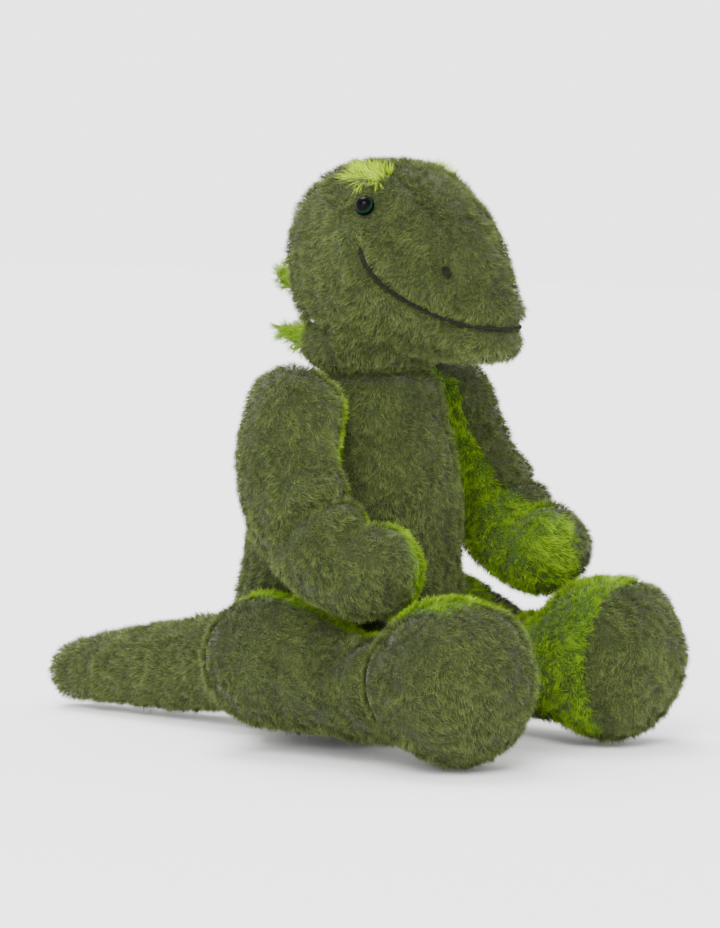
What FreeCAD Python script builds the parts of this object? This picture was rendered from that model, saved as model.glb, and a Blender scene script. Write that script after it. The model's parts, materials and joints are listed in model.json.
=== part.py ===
import FreeCAD, Part
import math
import os
from FreeCAD import Matrix, Vector

# A sitting stuffed dinosaur with bent arms, legs held out in front and a thick tail lying behind.
# Millimetres. +Z is up, the toy faces -Y, its own right side is -X. The floor is z = 0 and the
# origin is under the middle of the whole toy. Every padded form is made by a function of one
# inset: 0 gives the outside of its fabric, CLOTH the inside, and LOFT_GAP more gives its filling.

# Driving dimensions
CLOTH = 2.5                # fur fabric: knitted backing and the dense roots of its pile
LOFT_GAP = 0.3             # air between the fabric and the filling
SEAM_GAP = 1.0             # air between two bodies that move against each other
SEAT_Y = -26.49            # centre of the seat
SHOULDER = Vector(-66, SEAT_Y - 15, 188)
SHOULDER_R = 29.0
HIP = Vector(-74, SEAT_Y - 3, 52)
HIP_R = 39.0
SOLE_RUN = 152.0           # how far in front of the hip the sole is sewn on
HIP_INWARD = -4.0          # degrees that a leg may swing towards the other
TAIL_ROOT = Vector(0, SEAT_Y + 60, 37)
TAIL_R = 32.0
NECK = Vector(0, SEAT_Y - 15, 226)
NECK_R = 36.0
NECK_BASE_Z = 211.0
HEAD_Y = SEAT_Y - 26       # centre of the skull
EYE_R = 5.6
THREAD_R = 1.0

X = Vector(1, 0, 0)
Y = Vector(0, 1, 0)
Z = Vector(0, 0, 1)


# ---------------------------------------------------------------- shared shapes

def ring(centre, side, up, half_side, half_up, fullness=2.0):
    """A smooth closed oval; a fullness above 2 squares it a little."""
    points = []
    for step in range(24):
        angle = 2 * math.pi * step / 24
        c, s = math.cos(angle), math.sin(angle)
        x = math.copysign(abs(c) ** (2 / fullness), c) * half_side
        y = math.copysign(abs(s) ** (2 / fullness), s) * half_up
        points.append(centre + side * x + up * y)
    curve = Part.BSplineCurve()
    curve.interpolate(Points=points, PeriodicFlag=True)
    return Part.Wire([curve.toShape()])


def domed(stations, side, inset=0.0, fullness=2.0, domes=(1.0, 1.0)):
    """A padded tube through (centre, half_side, half_up) stations, closed by a dome at each end."""
    centres = [s[0] for s in stations]
    last = len(stations) - 1
    rings = []

    def add(index, along, scale):
        before, after = centres[max(index - 1, 0)], centres[min(index + 1, last)]
        run = (after - before).normalize()
        across = (side - run * side.dot(run)).normalize()
        up = run.cross(across)
        half_side = (stations[index][1] - inset) * scale
        half_up = (stations[index][2] - inset) * scale
        rings.append(ring(centres[index] + run * along, across, up, half_side, half_up, fullness))

    depth = (min(stations[0][1:]) - inset) * domes[0]
    for degrees in (82, 64, 44, 22):
        turn = math.radians(degrees)
        add(0, -depth * math.sin(turn), math.cos(turn))
    for index in range(last + 1):
        add(index, 0.0, 1.0)
    depth = (min(stations[last][1:]) - inset) * domes[1]
    for degrees in (22, 44, 64, 82):
        turn = math.radians(degrees)
        add(last, depth * math.sin(turn), math.cos(turn))
    return Part.makeLoft(rings, True, False)


def ball(centre, radius):
    return Part.makeSphere(radius, centre)


def ellipsoid(centre, half_x, half_y, half_z):
    scale = Matrix()
    scale.scale(Vector(half_x, half_y, half_z))
    shape = Part.makeSphere(1.0).transformGeometry(scale)
    shape.translate(centre)
    return shape


def half_space(point, normal, reach=1200.0):
    """A big block on the side of a plane that its normal points to."""
    block = Part.makeBox(reach, reach, reach, Vector(-reach / 2, -reach / 2, 0))
    block.Placement = FreeCAD.Placement(point, FreeCAD.Rotation(Z, normal))
    return block


def turned(shape, centre, axis, degrees):
    copy = shape.copy()
    copy.rotate(centre, axis, degrees)
    return copy


def mirrored(shape):
    return shape.mirror(Vector(0, 0, 0), X)


def skin_point(form, outside, inside):
    """Where the straight line from a point outside a form to a point inside it meets the skin."""
    for _ in range(24):
        middle = (outside + inside) * 0.5
        if form.isInside(middle, 0.001, True):
            inside = middle
        else:
            outside = middle
    return inside


# ---------------------------------------------------------------- padded forms

def tail_form(inset):
    bend = [(0, 37, 32, 32), (26, 36, 31, 31), (60, 32, 28, 28.5), (95, 28, 25, 25),
            (125, 24.5, 22, 22), (150, 21.5, 19.5, 19.5)]
    stations = [(TAIL_ROOT + Vector(0, back, z - TAIL_ROOT.z), side, up) for back, z, side, up in bend]
    return domed(stations, X, inset, domes=(1.0, 0.85))


def leg_form(inset):
    """The right leg: a round hip, a lap that dips where the hand rests, and a big upright foot."""
    foot = [(0, 0, 52, 39, 39), (26, 2, 48, 38, 34.5), (50, 3, 42, 36, 29), (74, 4, 41, 36, 29),
            (92, 5, 43, 39, 33), (109, 5.5, 46.5, 44, 42.5), (129, 5.5, 48.5, 46.5, 47.5)]
    stations = [(Vector(HIP.x + out, HIP.y - run, z), side, up) for run, out, z, side, up in foot]
    return domed(stations, X, inset, fullness=2.1, domes=(1.0, 0.9))


def arm_form(inset):
    """The right arm: it hangs from the shoulder, bends at the elbow and reaches over the thigh."""
    line = [(0, 0, 0, 29, 29), (-9.5, -2, -22, 27.5, 31.5), (-14.5, -9, -42, 26.5, 32.5),
            (-17, -22, -60, 26.5, 32.5), (-16, -38, -74, 27, 30.5), (-13, -53, -81.5, 27.5, 28.5),
            (-9, -66, -82.5, 28, 28.5)]
    stations = [(SHOULDER + Vector(x, y, z), side, up) for x, y, z, side, up in line]
    return domed(stations, X, inset, domes=(1.0, 0.95))


def torso_form(inset):
    """A pear with a flat seat, hollowed where the limbs, the tail and the neck are sewn in."""
    profile = [(0, 0, 32, 28), (4, 0, 45, 40), (12, 0, 56, 51), (28, 0, 64.5, 58.5),
               (55, 0, 68, 63), (80, 0, 67, 62.5), (100, -1, 64, 61), (128, -5, 57.5, 61),
               (150, -8, 48.5, 59), (167, -9, 44.5, 54.5), (182, -11, 45, 47), (195, -13, 42, 43),
               (203, -14, 38, 40), (208, -15, 33, 35), (NECK_BASE_Z - 0.6, -15, 28.5, 30)]
    heights = [p[0] for p in profile]
    low, high = heights[0] + inset, heights[-1] - inset
    rings = []
    for z, lean, half_x, half_y in profile:
        level = min(max(z, low), high)
        if z != heights[0] and level == low or z != heights[-1] and level == high:
            continue
        centre = Vector(0, SEAT_Y + lean, level)
        rings.append(ring(centre, X, Y, half_x - inset, half_y - inset, 2.15))
    form = Part.makeLoft(rings, True, False)
    grown = SEAM_GAP + inset
    hip_r = HIP_R + grown + 1.2
    hip = ball(HIP, hip_r).fuse(Part.makeCylinder(hip_r, 100, HIP + Vector(2, 0, -4), -Y))
    wells = [ball(SHOULDER, SHOULDER_R + grown + 0.8), hip, turned(hip, HIP, Z, -HIP_INWARD)]
    form = form.cut(ball(TAIL_ROOT, TAIL_R + grown + 0.6))
    for well in wells:
        form = form.cut(well).cut(mirrored(well))
    return form


def mirrored_point(point):
    return Vector(-point.x, point.y, point.z)


def neck_form(inset):
    """A short stuffed neck: a ball about the nodding axis, cut flat where it turns on the torso."""
    return ball(NECK, NECK_R - inset).common(half_space(Vector(0, 0, NECK_BASE_Z + inset), Z))


def head_form(inset):
    """A round skull that runs forward and down into a broad blunt snout."""
    profile = [(-22, 271.5, 48.5, 54), (0, 272, 53.5, 57.5), (20, 269, 50.5, 55.5), (36, 263, 42.5, 49),
               (49, 256, 35.5, 42), (60, 248.5, 29.5, 34.5), (70.5, 243, 25, 28), (80, 239.5, 19.5, 22),
               (86.5, 239, 13.5, 15.5), (89.5, 239, 8.5, 9.5)]
    stations = [(Vector(0, HEAD_Y - run, z), side, up) for run, z, side, up in profile]
    form = domed(stations, X, inset, fullness=2.15, domes=(0.66, 0.25))
    return form.cut(ball(NECK, NECK_R + SEAM_GAP + inset))


# ---------------------------------------------------------------- pieces

def panels(form, cuts):
    """A form's fabric, sewn from the panels between the cutting half spaces."""
    fabric = form(0).cut(form(CLOTH))
    pieces = {}
    for name, block in cuts.items():
        pieces[name] = fabric.common(block)
    return pieces


def filling(form):
    return form(CLOTH + LOFT_GAP)


def spike(base, outward, run, length, height):
    """A fur fin: an upright leaf that stands on the skin and leans towards its tip."""
    across = outward.cross(run).normalize()
    leaf = [(-6.0, 1.0, 6.0, 0.0), (0.35, 0.86, 6.0, 0.04), (0.7, 0.55, 5.0, 0.14), (0.93, 0.26, 3.4, 0.24),
            (1.0, 0.1, 1.6, 0.28)]
    rings = []
    for rise, part, thick, lean in leaf:
        lift = rise if rise < 0 else rise * height
        centre = base + outward * lift + run * (lean * length)
        rings.append(ring(centre, run, across, part * length / 2, thick))
    return Part.makeLoft(rings, True, False)


def build_tail(parts):
    parts.update(panels(tail_form, {"tail_right_panel": half_space(Vector(), -X),
                                    "tail_left_panel": half_space(Vector(), X)}))
    parts["tail_stuffing"] = filling(tail_form)


def build_leg(parts):
    """Both legs: an outer panel that takes in the sole, an inner panel, filling and a bag of beans."""
    seam = HIP + Vector(7, 0, 0)
    inward = Vector(0.86, 0, 0.51)
    inner = half_space(seam, inward).common(half_space(Vector(0, HIP.y - SOLE_RUN, 0), Y))
    fabric = leg_form(0).cut(leg_form(CLOTH))
    right = {"outer_panel": fabric.cut(inner), "inner_panel": fabric.common(inner)}
    pouch_at = HIP + Vector(5, -112, -8)
    right["bean_pouch"] = ellipsoid(pouch_at, 25, 20, 20)
    right["stuffing"] = filling(leg_form).cut(ellipsoid(pouch_at, 25.2, 20.2, 20.2))
    for piece, shape in right.items():
        parts["leg_right_" + piece] = shape
        parts["leg_left_" + piece] = mirrored(shape)


def build_arm(parts):
    seam = SHOULDER + Vector(-2, 0, 0)
    inward = Vector(1, 0, -0.2).normalize()
    right = panels(arm_form, {"outer_panel": half_space(seam, -inward),
                              "inner_panel": half_space(seam, inward)})
    right["stuffing"] = filling(arm_form)
    for piece, shape in right.items():
        parts["arm_right_" + piece] = shape
        parts["arm_left_" + piece] = mirrored(shape)


def build_torso(parts):
    side_seam = Vector(0, SEAT_Y - 4, 0)
    parts.update(panels(torso_form, {"torso_front_panel": half_space(side_seam, -Y),
                                     "torso_back_panel": half_space(side_seam, Y)}))
    pouch_at = Vector(0, SEAT_Y - 14, 25)
    parts["seat_bean_pouch"] = ellipsoid(pouch_at, 21, 26, 17)
    parts["torso_stuffing"] = filling(torso_form).cut(ellipsoid(pouch_at, 21.3, 26.3, 17.3))
    form = torso_form(0)
    for number, (z, length, height) in enumerate([(170, 27, 20), (142, 25, 18), (115, 22, 15)], 1):
        base = skin_point(form, Vector(0, 300, z), Vector(0, SEAT_Y - 10, z))
        up = Vector(0, -0.3, 1).normalize()
        outward = Vector(0, 1, 0.3).normalize()
        parts["back_spike_%d" % number] = spike(base, outward, up, length, height).cut(form)


def build_neck(parts):
    parts["neck_panel"] = neck_form(0).cut(neck_form(CLOTH))
    parts["neck_stuffing"] = filling(neck_form)
    base = NECK + Vector(0, NECK_R, -2)
    fin = spike(base, Y, Z, 21, 35).cut(ball(NECK, NECK_R + LOFT_GAP))
    # room for the back of the head as it nods up
    for nod in (0, -4.5, -9):
        fin = fin.cut(turned(head_form(-0.3), NECK, X, nod))
    parts["neck_spike"] = fin


def eye_parts(form):
    """The right eye: a glossy dome on a stem, and the washer that grips it inside the fabric."""
    outward = Vector(-0.86, -0.3, 0.42).normalize()
    aim = Vector(0, HEAD_Y - 20.5, 302.5)
    seat = skin_point(form, aim - X * 120.0, aim)
    dome = ball(seat + outward * 0.4, EYE_R).common(half_space(seat - outward * 0.4, outward))
    stem = Part.makeCylinder(1.4, 12.0, seat, -outward)
    washer_at = seat - outward * (CLOTH + 2.2)
    washer = Part.makeCylinder(8.0, 1.6, washer_at, -outward)
    washer = washer.cut(Part.makeCylinder(1.4, 1.6, washer_at, -outward))
    room = Part.makeCylinder(8.3, 14.0, seat - outward * 0.5, -outward)
    return dome.fuse(stem).removeSplitter(), washer, room


def mouth_line(form):
    """The sewn smile of the right side: up the cheek to under the eye, down along the snout."""
    smile = [(19.5, 285), (22.5, 273), (29, 262), (38, 253.5), (49, 246.5), (60, 241.5), (71, 238),
             (81, 236)]
    points = []
    for run, z in smile:
        points.append(skin_point(form, Vector(-200, HEAD_Y - run, z), Vector(0, HEAD_Y - run, z)))
    points.append(skin_point(form, Vector(0, -300, 235), Vector(0, HEAD_Y - 70, 235)))
    left = [mirrored_point(p) for p in reversed(points[:-1])]
    curve = Part.BSplineCurve()
    curve.interpolate(Points=points + left)
    return curve


def build_head(parts):
    form = head_form(0)
    gusset = 21.0
    middle = half_space(Vector(-gusset, 0, 0), X).common(half_space(Vector(gusset, 0, 0), -X))
    sewn = panels(head_form, {"head_right_panel": half_space(Vector(-gusset, 0, 0), -X),
                              "head_middle_gusset": middle,
                              "head_left_panel": half_space(Vector(gusset, 0, 0), X)})
    stuffing = filling(head_form)

    eye, washer, room = eye_parts(form)
    smile = mouth_line(form)
    start = smile.value(smile.FirstParameter)
    circle = Part.Wire([Part.makeCircle(THREAD_R, start, smile.tangent(smile.FirstParameter)[0])])
    thread = Part.Wire([smile.toShape()]).makePipeShell([circle], True, False)
    nostril_at = skin_point(form, Vector(-150, HEAD_Y - 65, 268), Vector(0, HEAD_Y - 65, 268))
    nostril_out = Vector(-0.75, -0.5, 0.43).normalize()
    nostril = Part.makeCylinder(2.7, 2.6, nostril_at - nostril_out * 1.4, nostril_out)
    brow_at = skin_point(form, Vector(-31, HEAD_Y - 12, 420), Vector(-31, HEAD_Y - 12, 280))
    brow = ellipsoid(brow_at + Vector(2, 0, 0), 11, 15, 7).cut(form)

    for name in sewn:
        fabric = sewn[name]
        for trim in (eye, mirrored(eye), nostril, mirrored(nostril), thread):
            fabric = fabric.cut(trim)
        parts[name] = fabric
    parts["head_stuffing"] = stuffing.cut(room).cut(mirrored(room))
    parts["mouth_thread"] = thread
    for side, place in (("right", lambda s: s), ("left", mirrored)):
        parts["eye_" + side] = place(eye)
        parts["eye_washer_" + side] = place(washer)
        parts["nostril_" + side] = place(nostril)
        parts["brow_tuft_" + side] = place(brow)

    outward = Vector(0, 1, -0.1).normalize()
    up = Vector(0, 0.1, 1).normalize()
    base = skin_point(form, Vector(0, 300, 257), Vector(0, HEAD_Y, 257))
    parts["head_spike"] = spike(base, outward, up, 26, 28).cut(form)


# ---------------------------------------------------------------- build and write

os.makedirs("parts", exist_ok=True)
pieces = {}
build_torso(pieces)
build_neck(pieces)
build_head(pieces)
build_arm(pieces)
build_leg(pieces)
build_tail(pieces)
for node, shape in pieces.items():
    shape.exportStep("parts/%s.step" % node)
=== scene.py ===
import itertools
import json
import math
import bmesh
import bpy
import numpy as np
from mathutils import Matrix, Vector
from mathutils.bvhtree import BVHTree


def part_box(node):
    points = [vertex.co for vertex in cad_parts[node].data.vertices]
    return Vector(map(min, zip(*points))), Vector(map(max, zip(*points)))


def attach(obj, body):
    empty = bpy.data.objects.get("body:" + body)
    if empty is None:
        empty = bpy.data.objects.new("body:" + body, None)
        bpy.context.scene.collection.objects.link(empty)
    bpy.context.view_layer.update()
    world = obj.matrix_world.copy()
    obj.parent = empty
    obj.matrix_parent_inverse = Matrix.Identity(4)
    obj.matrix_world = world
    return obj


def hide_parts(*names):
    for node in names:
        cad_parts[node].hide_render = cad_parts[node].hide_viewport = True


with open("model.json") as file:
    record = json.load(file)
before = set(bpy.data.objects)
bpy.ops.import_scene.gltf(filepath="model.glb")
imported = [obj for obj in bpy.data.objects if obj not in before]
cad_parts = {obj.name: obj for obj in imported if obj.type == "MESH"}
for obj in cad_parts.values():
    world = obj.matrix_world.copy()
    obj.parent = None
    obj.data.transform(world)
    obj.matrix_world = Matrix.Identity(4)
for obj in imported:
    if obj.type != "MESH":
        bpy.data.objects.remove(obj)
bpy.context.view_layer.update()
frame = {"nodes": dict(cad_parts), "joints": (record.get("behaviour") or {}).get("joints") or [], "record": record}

# ---------------------------------------------------------------- measures, in metres

MM = 0.001
SKIN_INSET = 3.4 * MM          # backing lies this far under the pile's outer surface
PILE = 5.6 * MM                # usual strand length
STRAND_HALF = 0.13 * MM        # half width of a strand at its middle
FLOOR_CLEAR = 0.4 * MM
DENSITY = 2.4e6                # strands per square metre
PIECE_STRANDS = 95000          # the most in one piece

JOINT_AT = {j["child"]: np.array(j["pos_m"]) for j in frame["joints"]}
NECK = JOINT_AT["head"]
SEAT_Y = NECK[1] + 15 * MM
RNG = np.random.default_rng(20)


# ---------------------------------------------------------------- small mesh tools

def link(name, mesh):
    obj = bpy.data.objects.new(name, mesh)
    bpy.context.scene.collection.objects.link(obj)
    return obj


def coords(mesh):
    out = np.empty(len(mesh.vertices) * 3)
    mesh.vertices.foreach_get("co", out)
    return out.reshape(-1, 3)


def set_coords(mesh, co):
    mesh.vertices.foreach_set("co", co.ravel())
    mesh.update()


def normals(mesh):
    out = np.empty(len(mesh.vertices) * 3)
    mesh.vertex_normals.foreach_get("vector", out)
    return out.reshape(-1, 3)


def unit(v):
    return v / np.maximum(np.linalg.norm(v, axis=-1, keepdims=True), 1e-12)


def smooth_shade(mesh):
    mesh.polygons.foreach_set("use_smooth", np.ones(len(mesh.polygons), dtype=bool))


def joined(nodes):
    """One mesh of several CAD nodes."""
    bm = bmesh.new()
    for node in nodes:
        bm.from_mesh(frame["nodes"][node].data)
    mesh = bpy.data.meshes.new("joined")
    bm.to_mesh(mesh)
    bm.free()
    return mesh


def baked(obj):
    """The object's mesh with its modifiers applied, in place of the old one."""
    graph = bpy.context.evaluated_depsgraph_get()
    mesh = bpy.data.meshes.new_from_object(obj.evaluated_get(graph))
    obj.modifiers.clear()
    obj.data = mesh
    return obj


def biggest_island(mesh):
    """Drops the inner walls that a hollow form leaves behind."""
    bm = bmesh.new()
    bm.from_mesh(mesh)
    bm.verts.ensure_lookup_table()
    left = set(bm.verts)
    islands = []
    while left:
        stack = [left.pop()]
        island = list(stack)
        while stack:
            for edge in stack.pop().link_edges:
                for vert in edge.verts:
                    if vert in left:
                        left.remove(vert)
                        stack.append(vert)
                        island.append(vert)
        islands.append(island)

    def reach(island):
        xs = [v.co.x for v in island]
        zs = [v.co.z for v in island]
        return max(xs) - min(xs) + max(zs) - min(zs)

    keep = max(islands, key=reach)
    kept = set(keep)
    bmesh.ops.delete(bm, geom=[v for v in bm.verts if v not in kept], context="VERTS")
    bm.to_mesh(mesh)
    bm.free()


def remeshed(name, mesh, voxel, relax=4):
    """The outside of a closed CAD form as one even, softened mesh."""
    obj = link(name, mesh)
    step = obj.modifiers.new("remesh", "REMESH")
    step.mode = "VOXEL"
    step.voxel_size = voxel
    baked(obj)
    biggest_island(obj.data)
    return relaxed(obj, relax) if relax else obj


def held_to(obj, outline, depth):
    """Puts every vertex at a depth under an outline, so that softening costs a form no size."""
    tree = BVHTree.FromPolygons([v.co for v in outline.vertices], [p.vertices for p in outline.polygons])
    spots = []
    for vert in obj.data.vertices:
        spot, facing, _, _ = tree.find_nearest(vert.co)
        spots.append(spot - facing * depth)
    set_coords(obj.data, np.array(spots))


def relaxed(obj, rounds):
    soften = obj.modifiers.new("relax", "SMOOTH")
    soften.iterations = rounds
    soften.factor = 0.5
    return baked(obj)


def subdivided(obj, levels=1):
    step = obj.modifiers.new("subdivide", "SUBSURF")
    step.levels = levels
    return baked(obj)


def puff(obj, pressure, cap, frames=16):
    """Fills a cloth form with air, so that its fabric stretches and wrinkles like a stuffed one."""
    scene = bpy.context.scene
    before = coords(obj.data)
    cloth = obj.modifiers.new("cloth", "CLOTH")
    cloth.settings.quality = 4
    cloth.settings.use_pressure = True
    cloth.settings.uniform_pressure_force = pressure
    cloth.settings.effector_weights.gravity = 0.0
    cloth.settings.tension_stiffness = 12.0
    cloth.settings.bending_stiffness = 0.2
    for number in range(1, frames + 1):
        scene.frame_set(number)
    graph = bpy.context.evaluated_depsgraph_get()
    after = coords(obj.evaluated_get(graph).data)
    obj.modifiers.remove(cloth)
    move = after - before
    size = np.linalg.norm(move, axis=1, keepdims=True)
    set_coords(obj.data, before + move * np.minimum(1.0, cap / np.maximum(size, 1e-9)))
    scene.frame_set(1)


def field(points, cell, seed):
    """Smooth random vectors between -1 and 1 that change about once every cell."""
    grid = points / cell
    base = np.floor(grid).astype(np.int64)
    part = grid - base
    part = part * part * (3 - 2 * part)
    total = np.zeros((len(points), 3))
    for corner in itertools.product((0, 1), repeat=3):
        at = base + np.array(corner)
        key = at[:, 0] * 73856093 ^ at[:, 1] * 19349663 ^ at[:, 2] * 83492791 ^ seed * 7919
        key = key.astype(np.uint64) * np.uint64(0x9E3779B97F4A7C15)
        key ^= key >> np.uint64(29)
        key *= np.uint64(0xBF58476D1CE4E5B9)
        weight = np.prod(np.where(corner, part, 1 - part), axis=1)
        for axis, shift in enumerate((13, 29, 45)):
            value = (key >> np.uint64(shift)) & np.uint64(0xFFFF)
            total[:, axis] += weight * (value.astype(float) / 32767.5 - 1.0)
    return total


def near(points, line):
    """Distance from each point to the nearest of a line's points."""
    best = np.full(len(points), 1e9)
    for spot in line:
        best = np.minimum(best, np.linalg.norm(points - spot, axis=1))
    return best


def push(obj, amount):
    """Moves each vertex along its normal."""
    set_coords(obj.data, coords(obj.data) + normals(obj.data) * amount[:, None])


def floored(co):
    co[:, 2] = np.maximum(co[:, 2], FLOOR_CLEAR)
    return co


# ---------------------------------------------------------------- materials

def material(name):
    mat = bpy.data.materials.new(name)
    mat.use_nodes = True
    nodes, links = mat.node_tree.nodes, mat.node_tree.links
    nodes.clear()
    out = nodes.new("ShaderNodeOutputMaterial")
    shader = nodes.new("ShaderNodeBsdfPrincipled")
    links.new(shader.outputs[0], out.inputs[0])
    return mat, nodes, links, shader


def ramp(nodes, stops):
    node = nodes.new("ShaderNodeValToRGB")
    elements = node.color_ramp.elements
    while len(elements) < len(stops):
        elements.new(0.5)
    for element, (place, colour) in zip(elements, stops):
        element.position = place
        element.color = (*colour, 1.0)
    return node


TONES = [(0.0, (0.38, 0.38, 0.36)), (0.5, (0.70, 0.70, 0.68)), (1.0, (1.0, 1.0, 1.0))]


def fur_material(name, along):
    """Strand colour from its own map: v runs from root to tip, with painted shade at the root and a painted
    highlight at the tip; u is the strand's own tone.
    """
    mat, nodes, links, shader = material(name)
    uv = nodes.new("ShaderNodeUVMap")
    uv.uv_map = "OFBake"
    split = nodes.new("ShaderNodeSeparateXYZ")
    links.new(uv.outputs[0], split.inputs[0])
    # dark roots are painted shade deep in the pile, pale tips a painted highlight
    root_shade_tip_highlight = ramp(nodes, along)
    links.new(split.outputs[1], root_shade_tip_highlight.inputs[0])
    tones = ramp(nodes, TONES)
    links.new(split.outputs[0], tones.inputs[0])
    mix = nodes.new("ShaderNodeMix")
    mix.data_type = "RGBA"
    mix.blend_type = "MULTIPLY"
    mix.inputs[0].default_value = 1.0
    links.new(root_shade_tip_highlight.outputs[0], mix.inputs[6])
    links.new(tones.outputs[0], mix.inputs[7])
    links.new(mix.outputs[2], shader.inputs["Base Color"])
    shader.inputs["Roughness"].default_value = 0.62
    shader.inputs["Specular IOR Level"].default_value = 0.14
    shader.inputs["Sheen Weight"].default_value = 0.08
    shader.inputs["Sheen Roughness"].default_value = 0.45
    shader.inputs["Sheen Tint"].default_value = (0.82, 0.90, 0.50, 1.0)
    return mat


def cloth_material(name, dark, light, scale, bump, sheen=0.2):
    """Woven or knitted cloth: two tones broken up by noise, with a fine grain in relief."""
    mat, nodes, links, shader = material(name)
    place = nodes.new("ShaderNodeTexCoord")
    noise = nodes.new("ShaderNodeTexNoise")
    noise.inputs["Scale"].default_value = scale
    noise.inputs["Detail"].default_value = 6.0
    links.new(place.outputs["Object"], noise.inputs["Vector"])
    tones = ramp(nodes, [(0.3, dark), (0.7, light)])
    links.new(noise.outputs[0], tones.inputs[0])
    links.new(tones.outputs[0], shader.inputs["Base Color"])
    relief = nodes.new("ShaderNodeBump")
    relief.inputs["Strength"].default_value = bump
    relief.inputs["Distance"].default_value = 0.0006
    links.new(noise.outputs[0], relief.inputs["Height"])
    links.new(relief.outputs[0], shader.inputs["Normal"])
    shader.inputs["Roughness"].default_value = 0.85
    shader.inputs["Specular IOR Level"].default_value = 0.2
    shader.inputs["Sheen Weight"].default_value = sheen
    return mat


def plain_material(name, colour, roughness, coat=0.0):
    mat, nodes, links, shader = material(name)
    noise = nodes.new("ShaderNodeTexNoise")
    noise.inputs["Scale"].default_value = 900.0
    tones = ramp(nodes, [(0.35, [c * 0.9 for c in colour]), (0.65, colour)])
    links.new(noise.outputs[0], tones.inputs[0])
    links.new(tones.outputs[0], shader.inputs["Base Color"])
    shader.inputs["Roughness"].default_value = roughness
    shader.inputs["Coat Weight"].default_value = coat
    shader.inputs["Coat Roughness"].default_value = 0.03
    return mat


# Root-to-tip stops: the near-black roots are painted shade deep in the pile, the pale tips a painted highlight.
OLIVE = fur_material("olive_pile", [
    (0.0, (0.005, 0.009, 0.001)), (0.35, (0.026, 0.038, 0.004)),
    (0.75, (0.095, 0.128, 0.024)), (1.0, (0.36, 0.43, 0.20))])
LIME = fur_material("lime_pile", [
    (0.0, (0.012, 0.032, 0.0)), (0.3, (0.06, 0.14, 0.0)),
    (0.7, (0.21, 0.40, 0.003)), (1.0, (0.48, 0.70, 0.03))])
# A lighter copy of the lime pile, painted light for the brow tufts on the top-lit head.
LIT_LIME = fur_material("bright_lime_pile", [
    (0.0, (0.10, 0.20, 0.0)), (0.3, (0.30, 0.50, 0.0)),
    (0.7, (0.56, 0.80, 0.0)), (1.0, (0.80, 0.98, 0.04))])
BACKING = cloth_material("olive_backing", (0.012, 0.018, 0.003), (0.028, 0.038, 0.006), 260.0, 0.5)
LIME_BACKING = cloth_material("lime_backing", (0.015, 0.03, 0.001), (0.04, 0.09, 0.003), 260.0, 0.5)
FIBRE = cloth_material("polyester_fibre", (0.75, 0.75, 0.73), (0.95, 0.95, 0.94), 180.0, 1.0)
COTTON = cloth_material("bean_bag_cotton", (0.62, 0.60, 0.53), (0.80, 0.78, 0.70), 900.0, 0.6)
THREAD = cloth_material("dark_thread", (0.002, 0.003, 0.001), (0.009, 0.011, 0.005), 2500.0, 0.8, 0.0)
WASHER = plain_material("washer_plastic", (0.80, 0.80, 0.77), 0.45)


# ---------------------------------------------------------------- fur

def scattered(mesh, density):
    """Even random points on a mesh, with its smooth normals."""
    mesh.calc_loop_triangles()
    tris = np.empty(len(mesh.loop_triangles) * 3, dtype=np.int64)
    mesh.loop_triangles.foreach_get("vertices", tris)
    tris = tris.reshape(-1, 3)
    co, nor = coords(mesh), normals(mesh)
    a, b, c = (co[tris[:, k]] for k in range(3))
    area = np.linalg.norm(np.cross(b - a, c - a), axis=1) / 2
    count = int(area.sum() * density)
    pick = RNG.choice(len(tris), count, p=area / area.sum())
    s, t = RNG.random(count), RNG.random(count)
    flip = s + t > 1
    s[flip], t[flip] = 1 - s[flip], 1 - t[flip]
    weight = np.stack([1 - s - t, s, t], axis=1)[:, :, None]
    points = (np.stack([a[pick], b[pick], c[pick]], axis=1) * weight).sum(axis=1)
    out = unit((nor[tris[pick]] * weight).sum(axis=1))
    return points, out


def grow(name, points, out, comb, length, mat, body, lean=0.5, ruffle=0.85, width=1.0):
    """Pile on a form, as one piece or, where there is a lot of it, several from front to back."""
    count = len(points)
    length = np.broadcast_to(length, count)
    order = np.argsort(points[:, 1], kind="stable")
    shares = np.array_split(order, math.ceil(count / PIECE_STRANDS))
    made = []
    for number, share in enumerate(shares, 1):
        label = name if len(shares) == 1 else "%s_%d" % (name, number)
        mesh = strands(label, points[share], out[share], comb[share], length[share], lean, ruffle, width)
        mesh.materials.append(mat)
        made.append(link(label, mesh))
        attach(made[-1], body)
    return made[0]


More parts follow.
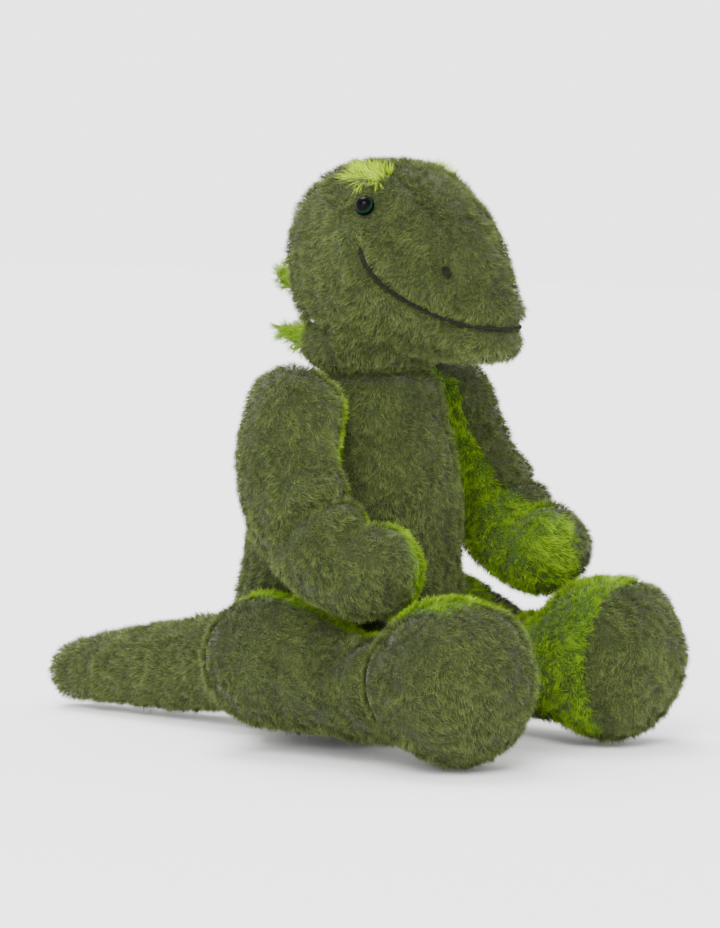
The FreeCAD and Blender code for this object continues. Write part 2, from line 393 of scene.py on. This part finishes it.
def strands(name, points, out, comb, length, lean, ruffle, width):
    """One bent, pointed blade for each root point; v of its map runs to the tip, u is its tone."""
    count = len(points)
    comb = unit(comb - out * (comb * out).sum(axis=1, keepdims=True))
    tuft = field(points, 3.2 * MM, 3) + field(points, 11.0 * MM, 5) * 0.5
    stray = RNG.normal(0.0, 0.24, (count, 3))
    rise = unit(out + comb * lean + tuft * ruffle + stray)
    rise = unit(rise + out * np.maximum(0.3 - (rise * out).sum(axis=1, keepdims=True), 0))
    bend = unit(rise + comb * 0.5 + tuft * ruffle * 0.6 + stray * 0.5)
    size = length * (0.7 + 0.5 * RNG.random(count)) * (1.0 + 0.22 * field(points, 7 * MM, 8)[:, 0])
    size = size[:, None]
    root = points - out * 0.6 * MM
    middle = root + rise * size * 0.55
    tip = middle + bend * size * 0.45
    across = unit(np.cross(out, rise) + RNG.normal(0.0, 0.4, (count, 3)))
    half = STRAND_HALF * width * (0.75 + 0.5 * RNG.random((count, 1)))
    co = np.stack([root, middle - across * half, middle + across * half, tip], axis=1).reshape(-1, 3)

    mesh = bpy.data.meshes.new(name)
    mesh.vertices.add(count * 4)
    mesh.vertices.foreach_set("co", floored(co).ravel())
    loops = (np.arange(count)[:, None] * 4 + np.array([0, 2, 1, 1, 2, 3])).ravel()
    mesh.loops.add(len(loops))
    mesh.loops.foreach_set("vertex_index", loops.astype(np.int32))
    mesh.polygons.add(count * 2)
    mesh.polygons.foreach_set("loop_start", np.arange(0, len(loops), 3, dtype=np.int32))
    layer = mesh.uv_layers.new(name="OFBake")
    tone = 0.5 + 0.13 * RNG.normal(0.0, 1.0, count) + 0.20 * field(points, 16 * MM, 11)[:, 0]
    tone = tone + 0.22 * field(points, 2.6 * MM, 12)[:, 1]
    tone = np.clip(tone, 0.02, 0.94)[:, None]
    u = (tone + np.array([0.01, 0.02, 0, 0, 0.02, 0.01])).ravel()
    # v carries the painted shade at the root and the painted highlight at the tip
    v = np.tile([0.02, 0.55, 0.55, 0.55, 0.55, 0.98], count)
    layer.data.foreach_set("uv", np.stack([u, v], axis=1).ravel())
    mesh.update()
    mesh.validate()
    smooth_shade(mesh)
    return mesh


# ---------------------------------------------------------------- skins

def skin(name, nodes, voxel, levels=1, pressure=3.0, swell=2.5 * MM):
    """A form's fabric: its CAD outline drawn in by the pile, puffed up and made finer."""
    obj = remeshed(name, joined(nodes), voxel)
    outline = remeshed(name + "_outline", joined(nodes), voxel, relax=0)
    held_to(obj, outline.data, SKIN_INSET + swell * 0.15)
    bpy.data.objects.remove(outline)
    relaxed(obj, 2)
    puff(obj, pressure, swell)
    subdivided(obj, levels)
    co = coords(obj.data)
    push(obj, field(co, 26 * MM, 21)[:, 0] * 1.0 * MM + field(co, 11 * MM, 22)[:, 1] * 0.6 * MM)
    set_coords(obj.data, floored(coords(obj.data)))
    return obj


def finish_skin(obj, nodes, body, lime=None):
    smooth_shade(obj.data)
    obj.data.materials.append(BACKING)
    if lime is not None:
        obj.data.materials.append(LIME_BACKING)
        centres = np.empty(len(obj.data.polygons) * 3)
        obj.data.polygons.foreach_get("center", centres)
        facing = np.empty(len(obj.data.polygons) * 3)
        obj.data.polygons.foreach_get("normal", facing)
        mask = lime(centres.reshape(-1, 3), facing.reshape(-1, 3))
        obj.data.polygons.foreach_set("material_index", mask.astype(np.int32))
    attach(obj, body)
    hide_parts(*nodes)


def crease(obj, at, along, facing, depth, width, reach):
    """A soft fold: along runs down the fold and facing is the side of the form that it is on."""
    along, facing = unit(np.array(along, float)), unit(np.array(facing, float))
    across = np.cross(along, facing)
    gap = coords(obj.data) - np.array(at)
    side = np.clip(normals(obj.data) @ facing + 0.15, 0, 1)
    down = np.exp(-((gap @ along) / reach) ** 2) * side
    off = np.abs(gap @ across)
    valley = np.exp(-(off / width) ** 2)
    ridge = np.exp(-((off - 2.4 * width) / (1.3 * width)) ** 2)
    push(obj, down * depth * (0.45 * ridge - valley))


def bump(obj, at, radius, height):
    gap = np.linalg.norm(coords(obj.data) - np.array(at), axis=1)
    push(obj, height * np.exp(-(gap / radius) ** 2))


def flipped(v, side):
    """A vector given for the right side, for the side asked."""
    return np.array(v) * (1, 1, 1) if side == "right" else np.array(v) * (-1, 1, 1)


def combed(points, direction):
    return np.tile(np.array(direction, float), (len(points), 1))


# torso and neck

torso_nodes = ["torso_front_panel", "torso_back_panel"]
torso = skin("torso_skin", torso_nodes, 5.0 * MM)
armpit = np.array((26 * MM, SEAT_Y - 52 * MM, 175 * MM))
crease(torso, armpit, (0.15, 0, 1), (0.55, -0.83, 0), 3 * MM, 4 * MM, 30 * MM)
crease(torso, armpit * (-1, 1, 1), (-0.15, 0, 1), (-0.55, -0.83, 0), 2 * MM, 4 * MM, 26 * MM)
finish_skin(torso, torso_nodes, "torso")
spots, out = scattered(torso.data, DENSITY)
seen = spots[:, 2] > 9 * MM
grow("torso_pile", spots[seen], out[seen], combed(spots[seen], (0, 0, -1)), PILE, OLIVE, "torso")

neck = skin("neck_skin", ["neck_panel"], 4.0 * MM)
push(neck, 4.5 * MM * np.clip(1.2 - np.abs(coords(neck.data)[:, 2] - 224 * MM) / (14 * MM), 0, 1))
finish_skin(neck, ["neck_panel"], "neck")
spots, out = scattered(neck.data, DENSITY)
seen = spots[:, 2] < 235 * MM
grow("neck_pile", spots[seen], out[seen], combed(spots[seen], (0, 0, -1)), PILE, OLIVE, "neck")


# tail

tail_nodes = ["tail_right_panel", "tail_left_panel"]
tail = skin("tail_skin", tail_nodes, 4.5 * MM)
finish_skin(tail, tail_nodes, "tail")
spots, out = scattered(tail.data, DENSITY)
grow("tail_pile", spots, out, combed(spots, (0, 1, -0.25)), PILE, OLIVE, "tail")


# limbs

def limb_piles(name, obj, body, lime, comb):
    spots, out = scattered(obj.data, DENSITY)
    green = lime(spots, out)
    for tint, mask, mat in (("olive", ~green, OLIVE), ("lime", green, LIME)):
        grow("%s_%s_pile" % (name, tint), spots[mask], out[mask], comb(spots[mask], out[mask]), PILE,
             mat, body)


def limb_nodes(name):
    return [name + "_outer_panel", name + "_inner_panel"]


def build_arm(side):
    name = "arm_" + side
    obj = skin(name + "_skin", limb_nodes(name), 4.5 * MM)
    shoulder = JOINT_AT[name]
    inward = 1 if side == "right" else -1

    def lime(points, out):
        """Inside of a seam that follows the arm's line from the shoulder, past the elbow, to the hand."""
        wave = field(points, 12 * MM, 31)[:, 0] * 1.5 * MM
        gap = (points - shoulder) / MM
        seam = np.interp(gap[:, 2], (-82, -60, -22, 0), (-8, -7, 4, 13)) * MM
        return gap[:, 0] * MM * inward + wave > seam

    def comb(points, out):
        fore = np.clip((shoulder[1] - 18 * MM - points[:, 1]) / (20 * MM), 0, 1)[:, None]
        return (1 - fore) * np.array((0, -0.1, -1.0)) + fore * np.array((0, -0.9, -0.35))

    elbow = shoulder + flipped((-16 * MM, -42 * MM, -45 * MM), side)
    crease(obj, elbow, (1, 0, 0), (0, -0.75, 0.66), 5 * MM, 4.5 * MM, 30 * MM)
    outer_elbow = elbow + flipped((-24 * MM, 8 * MM, -8 * MM), side)
    crease(obj, outer_elbow, (0, 0.75, -0.66), flipped((-1, 0, 0), side), 2.6 * MM, 4.5 * MM, 20 * MM)
    wrist = shoulder + flipped((-12 * MM, -58 * MM, -56 * MM), side)
    crease(obj, wrist, (1, 0, 0), (0, -0.2, 1), 2.4 * MM, 4.5 * MM, 22 * MM)
    finish_skin(obj, limb_nodes(name), name, lime)
    limb_piles(name, obj, name, lime, comb)


def build_leg(side):
    name = "leg_" + side
    obj = skin(name + "_skin", limb_nodes(name), 4.5 * MM)
    hip = JOINT_AT[name]
    inward = unit(flipped((0.86, 0, 0.51), side))
    sole = hip[1] - 140 * MM

    def lime(points, out):
        wave = field(points, 12 * MM, 33)[:, 0] * 1.5 * MM
        seam = np.interp((hip[1] - points[:, 1]) / MM, (60, 110), (9.5, 2)) * MM
        return ((points - hip) @ inward + wave > seam) & (points[:, 1] + wave > sole)

    def comb(points, out):
        front = np.clip((hip[1] - 140 * MM - points[:, 1]) / (20 * MM), 0, 1)[:, None]
        return (1 - front) * np.array((0, -0.9, -0.35)) + front * np.array((0, -0.1, -1.0))

    outer = flipped((-1, 0, 0), side)
    ankle = hip + flipped((-34 * MM, -88 * MM, -6 * MM), side)
    crease(obj, ankle, (0, 0.12, 1), outer, 4.5 * MM, 4 * MM, 26 * MM)
    crease(obj, ankle + np.array((0, 9 * MM, 26 * MM)), (0, -0.5, 0.5), outer, 2.5 * MM, 4 * MM, 16 * MM)
    instep = hip + flipped((4 * MM, -90 * MM, 24 * MM), side)
    crease(obj, instep, (1, 0, 0), (0, 0, 1), 3 * MM, 6 * MM, 24 * MM)
    bump(obj, hip + flipped((-20 * MM, -140 * MM, 26 * MM), side), 16 * MM, 3.0 * MM)
    finish_skin(obj, limb_nodes(name), name, lime)
    limb_piles(name, obj, name, lime, comb)


for side in ("right", "left"):
    build_arm(side)
    build_leg(side)


# ---------------------------------------------------------------- head

head_nodes = ["head_right_panel", "head_middle_gusset", "head_left_panel"]
GUSSET = np.array(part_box("head_middle_gusset"))[1][0]
HEAD = np.array((0.0, SEAT_Y - 26 * MM, 273 * MM))


def mouth_line():
    """The smile's centre line, from corner to corner, read from the CAD thread."""
    co = coords(joined(["mouth_thread"]))
    angle = np.arctan2(co[:, 0], HEAD[1] - co[:, 1])
    order = np.argsort(angle)
    co, angle = co[order], angle[order]
    marks = np.linspace(angle[0] + 0.01, angle[-1] - 0.01, 61)
    width = marks[1] - marks[0]
    return np.array([co[np.abs(angle - m) < width].mean(axis=0) for m in marks])


def middle_of(node):
    return np.mean([np.array(corner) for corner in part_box(node)], axis=0)


def eye_frame(side):
    """Where the eye's dome is centred, and which way it looks."""
    look = unit(flipped((-0.86, -0.30, 0.42), side))
    co = coords(joined(["eye_" + side]))
    crown = (co @ look).max()
    washer = middle_of("eye_washer_" + side)
    return washer + look * (crown - washer @ look - EYE_R), look


EYE_R = 5.6 * MM
MOUTH = mouth_line()
EYES = {side: eye_frame(side) for side in ("right", "left")}
NOSTRILS = {side: middle_of("nostril_" + side) for side in ("right", "left")}
BROWS = {side: middle_of("brow_tuft_" + side) for side in ("right", "left")}

head = skin("head_skin", head_nodes, 4.0 * MM, levels=2)
co = coords(head.data)
gap = near(co, MOUTH)
groove = -6.6 * MM * np.exp(-(gap / (3.8 * MM)) ** 2)
lips = 2.4 * MM * np.exp(-((gap - 11 * MM) / (6 * MM)) ** 2)
push(head, groove + lips)
co = coords(head.data)
push(head, 3.6 * MM * np.clip((HEAD[2] - 34 * MM - co[:, 2]) / (16 * MM), 0, 1))
co = coords(head.data)
seam = np.exp(-((np.abs(co[:, 0]) - GUSSET) / (3.4 * MM)) ** 2)
push(head, -2.2 * MM * seam * np.clip(normals(head.data)[:, 2] * 1.5, 0, 1))
for side in ("right", "left"):
    centre, look = EYES[side]
    co = coords(head.data)
    gap = np.linalg.norm(co - (centre - look * 4 * MM), axis=1)
    push(head, -1.5 * MM * np.exp(-(gap / (8 * MM)) ** 2))
    bump(head, BROWS[side] - np.array((0, 0, 6 * MM)), 14 * MM, 2.0 * MM)
    gap = np.linalg.norm(coords(head.data) - NOSTRILS[side], axis=1)
    pit = 3.0 * MM * np.exp(-(gap / (4.5 * MM)) ** 2)
    push(head, 1.6 * MM * np.exp(-((gap - 11 * MM) / (5 * MM)) ** 2) - pit)
finish_skin(head, head_nodes, "head")

spots, out = scattered(head.data, DENSITY)
to_mouth = near(spots, MOUTH)
keep = to_mouth > 1.3 * MM
length = np.full(len(spots), PILE) * np.clip(0.35 + to_mouth / (12 * MM), 0.35, 1.0)
comb = combed(spots, (0, 0.5, -0.8))
for side in ("right", "left"):
    centre, look = EYES[side]
    away = spots - centre
    gap = np.linalg.norm(away, axis=1)
    keep &= gap > EYE_R + 0.6 * MM
    length *= np.clip(0.4 + (gap - EYE_R) / (13 * MM), 0.4, 1.0)
    comb += unit(away) * 1.6 * np.exp(-(gap / (9 * MM)) ** 2)[:, None]
    away = spots - NOSTRILS[side]
    gap = np.linalg.norm(away, axis=1)
    keep &= gap > 3.0 * MM
    length *= np.clip(0.45 + gap / (14 * MM), 0.45, 1.0)
    comb += unit(away) * 1.4 * np.exp(-(gap / (7 * MM)) ** 2)[:, None]


def in_brow(points):
    """The lime patch above each eye: longer along the head than across it."""
    inside = np.zeros(len(points), dtype=bool)
    for side in ("right", "left"):
        gap = points - BROWS[side]
        across = gap @ unit(flipped((1.0, 0.0, 0.75), side))
        inside |= (across / (8 * MM)) ** 2 + (gap[:, 1] / (12 * MM)) ** 2 < 1
    return inside & (points[:, 2] > HEAD[2] + 25 * MM)


brow = in_brow(spots)
grow("head_pile", spots[keep & ~brow], out[keep & ~brow], comb[keep & ~brow], length[keep & ~brow], OLIVE,
     "head")
for side in ("right", "left"):
    own = brow & (spots[:, 0] * (1 if side == "left" else -1) > 0)
    down = combed(spots[own], flipped((-1, 0.1, -0.3), side))
    # the brow tufts take the lighter lime, painted light for the top of the head
    tuft = grow("brow_tuft_pile_" + side, spots[own], out[own], down, PILE * 1.8, LIT_LIME,
                "head", lean=0.4, ruffle=1.2)
    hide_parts("brow_tuft_" + side)


def tube(bm, path, radii, sides=8):
    """A closed round tube along a path, added to a mesh."""
    path = np.array(path)
    run = unit(np.gradient(path, axis=0))
    rings = []
    for centre, along, radius in zip(path, run, radii):
        helper = np.array((0, 0, 1.0)) if abs(along[2]) < 0.8 else np.array((1.0, 0, 0))
        a = unit(np.cross(along, helper))
        b = np.cross(along, a)
        ring = []
        for step in range(sides):
            turn = 2 * math.pi * step / sides
            ring.append(bm.verts.new(centre + (a * math.cos(turn) + b * math.sin(turn)) * radius))
        rings.append(ring)
    for first, second in zip(rings, rings[1:]):
        for step in range(sides):
            after = (step + 1) % sides
            bm.faces.new((first[step], first[after], second[after], second[step]))
    bm.faces.new(rings[0][::-1])
    bm.faces.new(rings[-1])


def from_bm(name, bm, mat, body, slot, *nodes):
    mesh = bpy.data.meshes.new(name)
    bm.normal_update()
    bm.to_mesh(mesh)
    bm.free()
    smooth_shade(mesh)
    mesh.materials.append(mat)
    obj = link(name, mesh)
    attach(obj, body)
    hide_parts(*nodes)
    return obj


def build_mouth():
    """Back stitches of thick dark thread, laid end to end down in the groove."""
    inward = unit(HEAD + np.array((0, -30 * MM, -18 * MM)) - MOUTH)
    line = MOUTH + inward * 2.6 * MM
    steps = np.concatenate([[0], np.cumsum(np.linalg.norm(np.diff(line, axis=0), axis=1))])
    bm = bmesh.new()
    stitch = 5.0 * MM
    count = int(steps[-1] / stitch)
    for number in range(count):
        at = np.linspace(number * stitch - 0.5 * MM, (number + 1) * stitch + 0.5 * MM, 9)
        path = np.stack([np.interp(at, steps, line[:, k]) for k in range(3)], axis=1)
        hump = np.sin(np.linspace(0, math.pi, 9))
        push_in = np.stack([np.interp(at, steps, inward[:, k]) for k in range(3)], axis=1)
        path = path - push_in * (hump[:, None] * 0.7 * MM)
        tube(bm, path, (0.5 + 0.5 * hump) * 1.15 * MM)
    from_bm("mouth_stitches", bm, THREAD, "head", "thread", "mouth_thread")


def build_nostril(side):
    """A satin-stitched oval: threads side by side over a small pad."""
    look = unit(flipped((-0.75, -0.5, 0.43), side))
    centre = NOSTRILS[side] - look * 1.6 * MM
    long_way = unit(np.cross(look, np.cross((0, 0.45, 1.0), look)))
    across = np.cross(look, long_way)
    bm = bmesh.new()
    for number in range(9):
        off = (number - 4) / 4.6
        half = math.sqrt(1 - off * off) * 2.9 * MM
        turn = np.linspace(-1, 1, 9)
        path = [centre + across * off * 2.3 * MM + long_way * half * t
                + look * (1.3 * MM * (1 - t * t) * math.sqrt(1 - off * off)) for t in turn]
        tube(bm, path, np.full(9, 0.36 * MM), 6)
    from_bm("nostril_stitches_" + side, bm, THREAD, "head", "thread", "nostril_" + side)


def eye_material():
    """A black pupil in a thin, very dark green iris under a clear polish, by distance from the axis."""
    mat, nodes, links, shader = material("safety_eye")
    ringed = nodes.new("ShaderNodeVertexColor")
    ringed.layer_name = "ring"
    black = (0.001, 0.001, 0.001)
    tones = ramp(nodes, [(0.0, black), (0.78, black), (0.84, (0.002, 0.016, 0.007)),
                         (0.93, (0.001, 0.012, 0.005)), (0.98, black)])
    links.new(ringed.outputs[0], tones.inputs[0])
    links.new(tones.outputs[0], shader.inputs["Base Color"])
    shader.inputs["Roughness"].default_value = 0.08
    shader.inputs["Specular IOR Level"].default_value = 0.05
    return mat


EYE = eye_material()


def build_washer(side, centre, look, a, b):
    """The star washer that grips the shank behind the fabric: a dished ring with cut inner teeth."""
    section = ((8.0, 0.0), (7.6, 0.8), (4.4, 1.0), (1.7, 0.2), (1.7, -0.4), (4.4, 0.0), (7.4, -0.6))
    bm = bmesh.new()
    rings = []
    for radius, height in section:
        spots = []
        for k in range(36):
            turn = 2 * math.pi * k / 36
            reach = radius + (0.8 if radius < 2 and k % 6 < 2 else 0.0)
            spots.append(bm.verts.new(centre + ((a * math.cos(turn) + b * math.sin(turn)) * reach
                                                + look * height) * MM))
        rings.append(spots)
    for first, second in zip(rings, rings[1:] + rings[:1]):
        for k in range(36):
            n = (k + 1) % 36
            bm.faces.new((first[k], second[k], second[n], first[n]))
    bmesh.ops.recalc_face_normals(bm, faces=bm.faces)
    from_bm("star_washer_" + side, bm, WASHER, "head", "washer", "eye_washer_" + side)


def build_eye(side):
    """The dome, its rolled rim and the ribbed shank that holds the washer."""
    centre, look = EYES[side]
    a = unit(np.cross(look, (0, 0, 1.0)))
    b = np.cross(look, a)
    profile = [(EYE_R * math.sin(t), EYE_R * math.cos(t)) for t in np.linspace(0.0, 1.50, 16)]
    profile += [(EYE_R * 0.99, -0.5 * MM), (EYE_R * 0.93, -0.9 * MM), (1.5 * MM, -1.0 * MM)]
    for rib in range(4):
        deep = -(2.0 + 2.4 * rib) * MM
        profile += [(1.4 * MM, deep), (1.4 * MM, deep - 1.2 * MM), (1.15 * MM, deep - 1.5 * MM),
                    (1.15 * MM, deep - 2.2 * MM)]
    profile.append((0.0, -12.0 * MM))
    bm = bmesh.new()
    sides = 40
    rings = []
    for radius, height in profile:
        if radius < 1e-9:
            rings.append([bm.verts.new(centre + look * height)])
            continue
        rings.append([bm.verts.new(centre + look * height + (a * math.cos(2 * math.pi * k / sides)
                      + b * math.sin(2 * math.pi * k / sides)) * radius) for k in range(sides)])
    for first, second in zip(rings, rings[1:]):
        for k in range(sides):
            n = (k + 1) % sides
            if len(first) == 1:
                bm.faces.new((first[0], second[k], second[n]))
            elif len(second) == 1:
                bm.faces.new((first[k], second[0], first[n]))
            else:
                bm.faces.new((first[k], second[k], second[n], first[n]))
    bmesh.ops.recalc_face_normals(bm, faces=bm.faces)
    obj = from_bm("safety_eye_" + side, bm, EYE, "head", "eye", "eye_" + side)
    build_washer(side, centre - look * 10.5 * MM, look, a, b)
    away = coords(obj.data) - centre
    off = np.linalg.norm(away - (away @ look)[:, None] * look, axis=1) / EYE_R
    tint = np.repeat(np.clip(off, 0, 1)[:, None], 4, axis=1)
    tint[:, 3] = 1.0
    layer = obj.data.color_attributes.new("ring", "FLOAT_COLOR", "POINT")
    layer.data.foreach_set("color", tint.ravel())


build_mouth()
for side in ("right", "left"):
    build_nostril(side)
    build_eye(side)


# ---------------------------------------------------------------- fins

def build_fins(body, nodes):
    """Lime fur fins: each a slim padded leaf whose pile runs up to its tip."""
    for node in nodes:
        obj = remeshed(node + "_skin", joined([node]), 1.8 * MM, relax=2)
        push(obj, np.full(len(obj.data.vertices), -1.6 * MM))
        smooth_shade(obj.data)
        obj.data.materials.append(LIME_BACKING)
        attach(obj, body)
        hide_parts(node)
        spots, out = scattered(obj.data, DENSITY * 1.3)
        grow(node + "_pile", spots, out, combed(spots, (0, 0.6, 0.3)), PILE * 1.3, LIME, body,
             lean=0.7, ruffle=1.2)


build_fins("torso", ["back_spike_1", "back_spike_2", "back_spike_3"])
build_fins("neck", ["neck_spike"])
build_fins("head", ["head_spike"])


# ---------------------------------------------------------------- what the forms hold

def build_filling():
    """Lumpy fibre in every form, and cotton bags of beans in the seat and the feet."""
    home = {node: body for body, nodes in frame["record"]["behaviour"]["bodies"].items() for node in nodes}
    for node, body in home.items():
        fibre, bag = node.endswith("_stuffing"), node.endswith("_pouch")
        if not (fibre or bag):
            continue
        obj = remeshed(node + "_lumps", joined([node]), 6.5 * MM if fibre else 3.0 * MM)
        co = coords(obj.data)
        size = 9 * MM if fibre else 4 * MM
        drawn_in = 8 * MM if fibre else 1 * MM
        if node == "head_stuffing":
            # the socket for the neck leaves it a thin rim, which only shrinks cleanly towards its middle
            set_coords(obj.data, HEAD + (co - HEAD) * 0.84)
            drawn_in = 0.0
        push(obj, field(co, size, 41)[:, 0] * (1.4 if fibre else 0.6) * MM - drawn_in)
        smooth_shade(obj.data)
        obj.data.materials.append(FIBRE if fibre else COTTON)
        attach(obj, body)
        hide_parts(node)


build_filling()


# ---------------------------------------------------------------- floor, light and camera

def build_floor():
    mesh = bpy.data.meshes.new("floor")
    mesh.from_pydata([(-4, -4, 0), (4, -4, 0), (4, 4, 0), (-4, 4, 0)], [], [(0, 1, 2, 3)])
    floor = link("floor", mesh)
    mat, nodes, links, shader = material("pale_floor")
    shader.inputs["Base Color"].default_value = (0.93, 0.93, 0.93, 1.0)
    shader.inputs["Roughness"].default_value = 0.9
    shader.inputs["Specular IOR Level"].default_value = 0.1
    mesh.materials.append(mat)


def soft_box(name, place, aim, size, power):
    light = bpy.data.lights.new(name, "AREA")
    light.shape = "RECTANGLE"
    light.size, light.size_y = size
    light.energy = power
    obj = bpy.data.objects.new(name, light)
    bpy.context.scene.collection.objects.link(obj)
    obj.location = place
    obj.rotation_euler = (Vector(aim) - Vector(place)).to_track_quat("-Z", "Y").to_euler()


def far_light(name, place, aim, strength):
    light = bpy.data.lights.new(name, "SUN")
    light.energy = strength
    light.angle = math.radians(35)
    obj = bpy.data.objects.new(name, light)
    bpy.context.scene.collection.objects.link(obj)
    obj.rotation_euler = (Vector(aim) - Vector(place)).to_track_quat("-Z", "Y").to_euler()


def build_light():
    world = bpy.data.worlds.new("studio")
    world.use_nodes = True
    nodes, links = world.node_tree.nodes, world.node_tree.links
    place = nodes.new("ShaderNodeTexCoord")
    split = nodes.new("ShaderNodeSeparateXYZ")
    links.new(place.outputs["Generated"], split.inputs[0])
    sweep = ramp(nodes, [(0.12, (1.0, 1.0, 1.0)), (0.35, (0.5, 0.5, 0.5))])
    links.new(split.outputs[2], sweep.inputs[0])
    links.new(sweep.outputs[0], nodes["Background"].inputs[0])
    nodes["Background"].inputs[1].default_value = 3.2
    bpy.context.scene.world = world
    middle = (0, SEAT_Y, 0.16)
    far_light("key", (-1.5, -0.9, 1.5), middle, 4.5)
    far_light("top", (0.2, 0.6, 1.9), middle, 3.4)
    soft_box("catchlight", (-2.0, -0.9, 0.75), middle, (0.08, 0.08), 10.0)


def build_camera():
    """A long lens, a little above the toy, that sees its right side and its face in profile."""
    turn, tilt, distance = math.radians(-50.5), math.radians(4.9), 3.0
    back = Vector((math.sin(turn) * math.cos(tilt), -math.cos(turn) * math.cos(tilt), math.sin(tilt)))
    right = Vector((math.cos(turn), math.sin(turn), 0.0))
    up = back.cross(right)
    aim = Vector((0, SEAT_Y, 0.16)) + right * 5.1 * MM - up * 5.1 * MM
    camera = bpy.data.cameras.new("camera")
    camera.lens = 206.5
    camera.sensor_width = 36.0
    obj = bpy.data.objects.new("camera", camera)
    bpy.context.scene.collection.objects.link(obj)
    obj.location = aim + back * distance
    obj.rotation_euler = (-back).to_track_quat("-Z", "Y").to_euler()
    bpy.context.scene.camera = obj


build_floor()
build_light()
build_camera()
